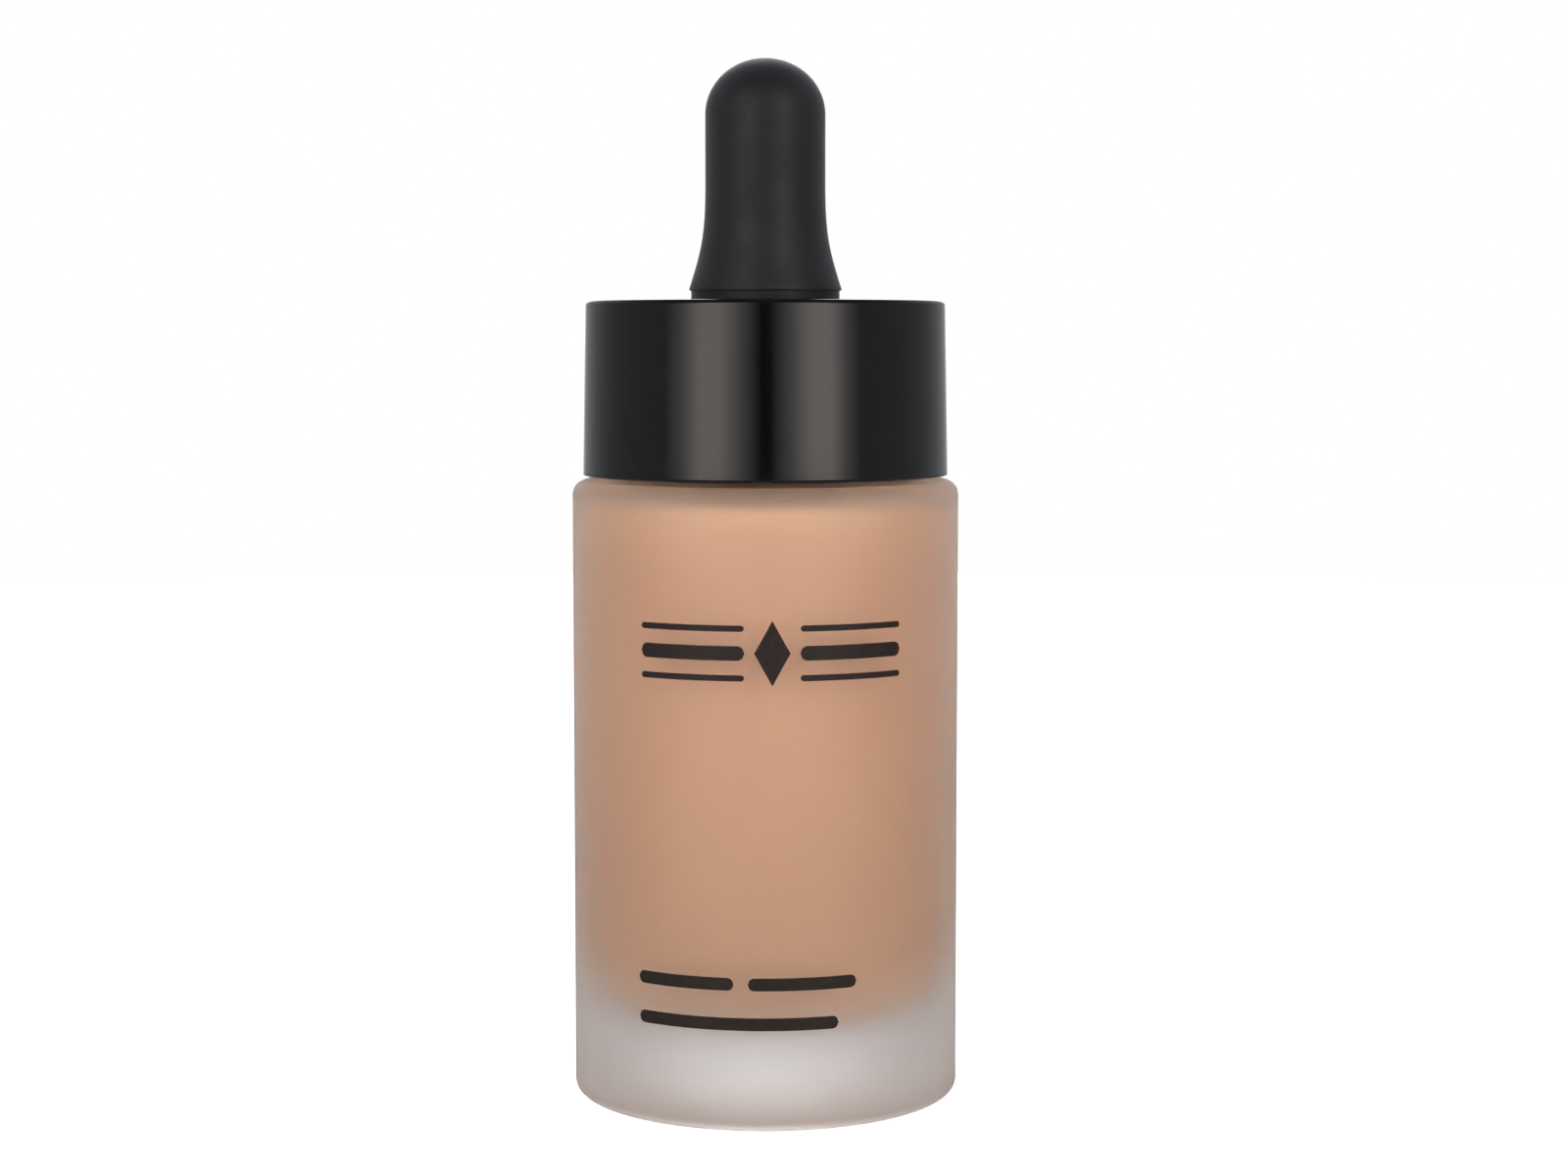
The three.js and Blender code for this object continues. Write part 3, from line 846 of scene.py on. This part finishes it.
def coated_paper():
    """A plain white sticker with a thin grey line inside its rim."""
    s = Shader("coated_paper")
    split = s.add("ShaderNodeSeparateXYZ")
    s.link(s.place, split.inputs["Vector"])
    total = s.add("ShaderNodeMath", operation="ADD")
    for axis, term in zip("XY", total.inputs):
        square = s.add("ShaderNodeMath", operation="POWER")
        square.inputs[1].default_value = 2
        s.link(split.outputs[axis], square.inputs[0])
        s.link(square.outputs[0], term)
    rim = (LABEL_RADIUS * MM) ** 2
    share = s.spread(total.outputs[0], 0.0, 1.0, 0.0, rim)
    paper = (0.86, 0.855, 0.83)
    grey = (0.35, 0.34, 0.33)
    line = ((0.80, paper), (0.81, grey), (0.84, grey), (0.85, paper))
    printed = s.colours(share, (0.0, paper), *line)
    s.into("Base Color", printed)
    s.into("Roughness", s.spread(s.noise(800), 0.55, 0.7))
    s.into("Normal", s.bump(s.noise(2500, detail=5, roughness=0.7, stretch=(1, 0.3, 1)), 0.01, 0.5))
    return s.material


def printing_ink():
    """Screen-printed black ink that covers a little unevenly."""
    s = Shader("printing_ink")
    cover = s.noise(1800, detail=4, roughness=0.7)
    s.set(IOR=1.35)
    s.into("Base Color", s.colours(cover, (0.3, (0.014, 0.009, 0.008)), (0.75, (0.026, 0.018, 0.016))))
    s.into("Roughness", s.spread(s.noise(900), 0.45, 0.6))
    s.into("Normal", s.bump(cover, 0.008, 0.5))
    return s.material


# ---------- the studio ----------

# Two soft upright panels light the object from either side of the camera, with a dark gap between
# them. Dim walls stand at the sides, brighter towards the back, and a strong light stands right
# behind the object. Each panel has the azimuth of its middle, the half-width of its bright part, the
# width of its fading edge towards the gap and towards the wall, all in degrees from the camera, and
# its radiance. Negative azimuths are on the viewer's left.
PANELS = [(-35, 6, 26, 24, 3.6), (35, 6, 25, 20, 3.75)]
INNER_SHARE = 0.42  # how bright a panel still is halfway through its edge towards the gap
OUTER_SHARE = 0.38  # the same towards the wall
GAP_HALF = 3
GAP_RADIANCE = 0.02
WALL_RADIANCE = 0.38
WALL_END = 112  # where the wall starts to brighten towards the back
BACK_EDGE = 158  # where the light behind the object starts to rise
BACK_EDGE_RADIANCE = 0.55
BACK_RADIANCE = 3.2
PANEL_TINT = (1.0, 0.91, 0.84)  # the panels are warm and the walls slightly cool
WALL_TINT = (0.95, 0.97, 1.0)
PANEL_TOP = (30, 54)  # the elevations between which the panels fade into the ceiling
CEILING_RADIANCE = 0.10
BACKDROP_RADIANCE = 1.0
FLOOR_GLOW = 0.10
FLOOR_WHITE = 0.88  # extra glow that only the camera sees, so that the floor meets the backdrop
FLOOR_GREY = 0.4
FLOOR_RADIUS = 600.0
FLOOR_DROP = 0.02  # keeps the floor's face apart from the bottle's foot
FLOOR_SIDES = 96


def azimuth_stops():
    """The light round the object, each stop (degrees, radiance), from left to right."""
    stops = []
    for middle, half, inner_fade, outer_fade, radiance in PANELS:
        out = math.copysign(1, middle)
        stops.append((out * GAP_HALF, GAP_RADIANCE))
        stops.append((out * WALL_END, WALL_RADIANCE))
        stops.append((out * BACK_EDGE, BACK_EDGE_RADIANCE))
        stops.append((out * 180, BACK_RADIANCE))
        inner, outer = middle - out * half, middle + out * half
        stops.append((inner, radiance))
        stops.append((outer, radiance))
        stops.append((inner - out * inner_fade / 2, radiance * INNER_SHARE))
        stops.append((outer + out * outer_fade / 2, radiance * OUTER_SHARE))
        stops.append((outer + out * outer_fade, WALL_RADIANCE))
    return sorted(stops)


def tint(degrees, radiance):
    """The light's tint at an azimuth, warmer the brighter a panel is there."""
    if abs(degrees) >= WALL_END:
        return Vector(WALL_TINT)
    panel_peak = max(panel[-1] for panel in PANELS)
    return Vector(WALL_TINT).lerp(Vector(PANEL_TINT), radiance / panel_peak)


def walls(nodes, direction):
    """The light of the panels and walls, which changes with the azimuth of a direction."""
    front = nodes.add("ShaderNodeMath", operation="MULTIPLY")
    front.inputs[1].default_value = -1
    nodes.link(direction.outputs["Y"], front.inputs[0])
    azimuth = nodes.add("ShaderNodeMath", operation="ARCTAN2")
    nodes.link(direction.outputs["X"], azimuth.inputs[0])
    nodes.link(front.outputs[0], azimuth.inputs[1])
    stops = azimuth_stops()
    brightest = max(radiance for _, radiance in stops)
    colour = nodes.colours(
        nodes.spread(azimuth.outputs[0], 0.0, 1.0, -math.pi, math.pi),
        *(
            ((degrees + 180) / 360, tint(degrees, radiance) * (radiance / brightest))
            for degrees, radiance in stops
        ),
    )
    light = nodes.add("ShaderNodeBackground")
    light.inputs["Strength"].default_value = brightest
    nodes.link(colour, light.inputs["Color"])
    return light


def even_light(nodes, radiance):
    """The same white light from all sides."""
    light = nodes.add("ShaderNodeBackground")
    light.inputs["Color"].default_value = (1, 1, 1, 1)
    light.inputs["Strength"].default_value = radiance
    return light


def mixed(nodes, share, first, second):
    """The first light where the share is 0, the second where it is 1."""
    mix = nodes.add("ShaderNodeMixShader")
    nodes.link(share, mix.inputs["Fac"])
    nodes.link(first.outputs[0], mix.inputs[1])
    nodes.link(second.outputs[0], mix.inputs[2])
    return mix


def make_world():
    """The panels and walls under a dim ceiling. The camera sees an even white backdrop instead."""
    world = bpy.data.worlds.new("studio")
    bpy.context.scene.world = world
    world.use_nodes = True
    world.node_tree.nodes.clear()
    nodes = Nodes(world.node_tree)
    direction = nodes.add("ShaderNodeSeparateXYZ")
    nodes.link(nodes.add("ShaderNodeTexCoord").outputs["Generated"], direction.inputs["Vector"])
    fade = [math.sin(math.radians(elevation)) for elevation in PANEL_TOP]
    height = nodes.spread(direction.outputs["Z"], 0.0, 1.0, *fade, interpolation_type="SMOOTHSTEP")
    studio = mixed(nodes, height, walls(nodes, direction), even_light(nodes, CEILING_RADIANCE))
    is_camera = nodes.add("ShaderNodeLightPath").outputs["Is Camera Ray"]
    seen = mixed(nodes, is_camera, studio, even_light(nodes, BACKDROP_RADIANCE))
    nodes.link(seen.outputs[0], nodes.add("ShaderNodeOutputWorld").inputs["Surface"])


def make_floor():
    """A round, plain, softly glowing table. The camera sees it white, and it lights the object as a
    dim grey."""
    angles = [TURN * i / FLOOR_SIDES for i in range(FLOOR_SIDES)]
    rim = [Vector((FLOOR_RADIUS * math.cos(a), FLOOR_RADIUS * math.sin(a), -FLOOR_DROP)) for a in angles]
    mesh = bpy.data.meshes.new("floor")
    mesh.from_pydata([corner * MM for corner in rim], [], [tuple(range(FLOOR_SIDES))])
    floor = bpy.data.objects.new("floor", mesh)
    bpy.context.scene.collection.objects.link(floor)
    s = Shader("floor")
    s.set(Base_Color=(FLOOR_GREY, FLOOR_GREY, FLOOR_GREY, 1), Roughness=0.8)
    s.set(Emission_Color=(1, 1, 1, 1))
    path = s.add("ShaderNodeLightPath")
    glow = s.spread(path.outputs["Is Camera Ray"], FLOOR_GLOW, FLOOR_GLOW + FLOOR_WHITE, 0.0, 1.0)
    s.into("Emission Strength", glow)
    floor.data.materials.append(s.material)


# ---------- the camera ----------

CAMERA_DISTANCE = 283.5
CAMERA_HEIGHT = 72.0
CAMERA_PITCH = math.radians(4.97)
CAMERA_YAW = math.radians(0.35)  # the object stands a little left of the picture's middle
LENS = 69.65
SENSOR = 36.0
CLIP_START = 0.01  # metres, as is the end
CLIP_END = 100


def make_camera():
    """The camera straight in front of the object, looking slightly down."""
    data = bpy.data.cameras.new("camera")
    data.lens = LENS
    data.sensor_width = SENSOR
    data.clip_start = CLIP_START
    data.clip_end = CLIP_END
    camera = bpy.data.objects.new("camera", data)
    camera.location = (0, -CAMERA_DISTANCE * MM, CAMERA_HEIGHT * MM)
    camera.rotation_euler = (math.pi / 2 - CAMERA_PITCH, 0, -CAMERA_YAW)
    bpy.context.scene.collection.objects.link(camera)
    bpy.context.scene.camera = camera


# ---------- the assembly ----------


def place(piece, material, body, node=None):
    """Paints a piece, rides it on its body and lets it stand for a CAD node."""
    piece.data.materials.append(material)
    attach(piece, body)
    if node:
        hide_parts(node)


def main():
    """Builds the studio, then each piece with its material and, all but the bulb, its body."""
    scene = bpy.context.scene
    scene.view_settings.view_transform = "Standard"
    scene.cycles.use_denoising = True
    make_camera()
    make_world()
    make_floor()

    natural = natural_plastic()
    cream = foundation_cream()
    place(make_bottle(), frosted_glass(), "bottle", "glass_bottle")
    place(make_foundation(), cream, "bottle", "foundation_liquid")
    place(make_wiper(), natural, "bottle", "neck_wiper")
    place(make_label(), coated_paper(), "bottle", "shade_label")
    place(make_marks(), printing_ink(), "bottle")
    place(make_washer(), white_foam(), "washer", "sealing_washer")
    place(make_holder(), natural, "dropper", "pipette_holder")
    place(make_pipette(), clear_glass(), "dropper", "glass_pipette")
    place(make_pipette_liquid(), cream, "dropper", "pipette_liquid")
    place(make_collar(), glossy_black(), "closure", "outer_collar")
    place(make_inner_cap(), matte_black(), "closure", "inner_cap")

    bulb = make_bulb()
    bulb.data.materials.append(black_rubber())
    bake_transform(bulb)
    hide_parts("rubber_bulb")


main()
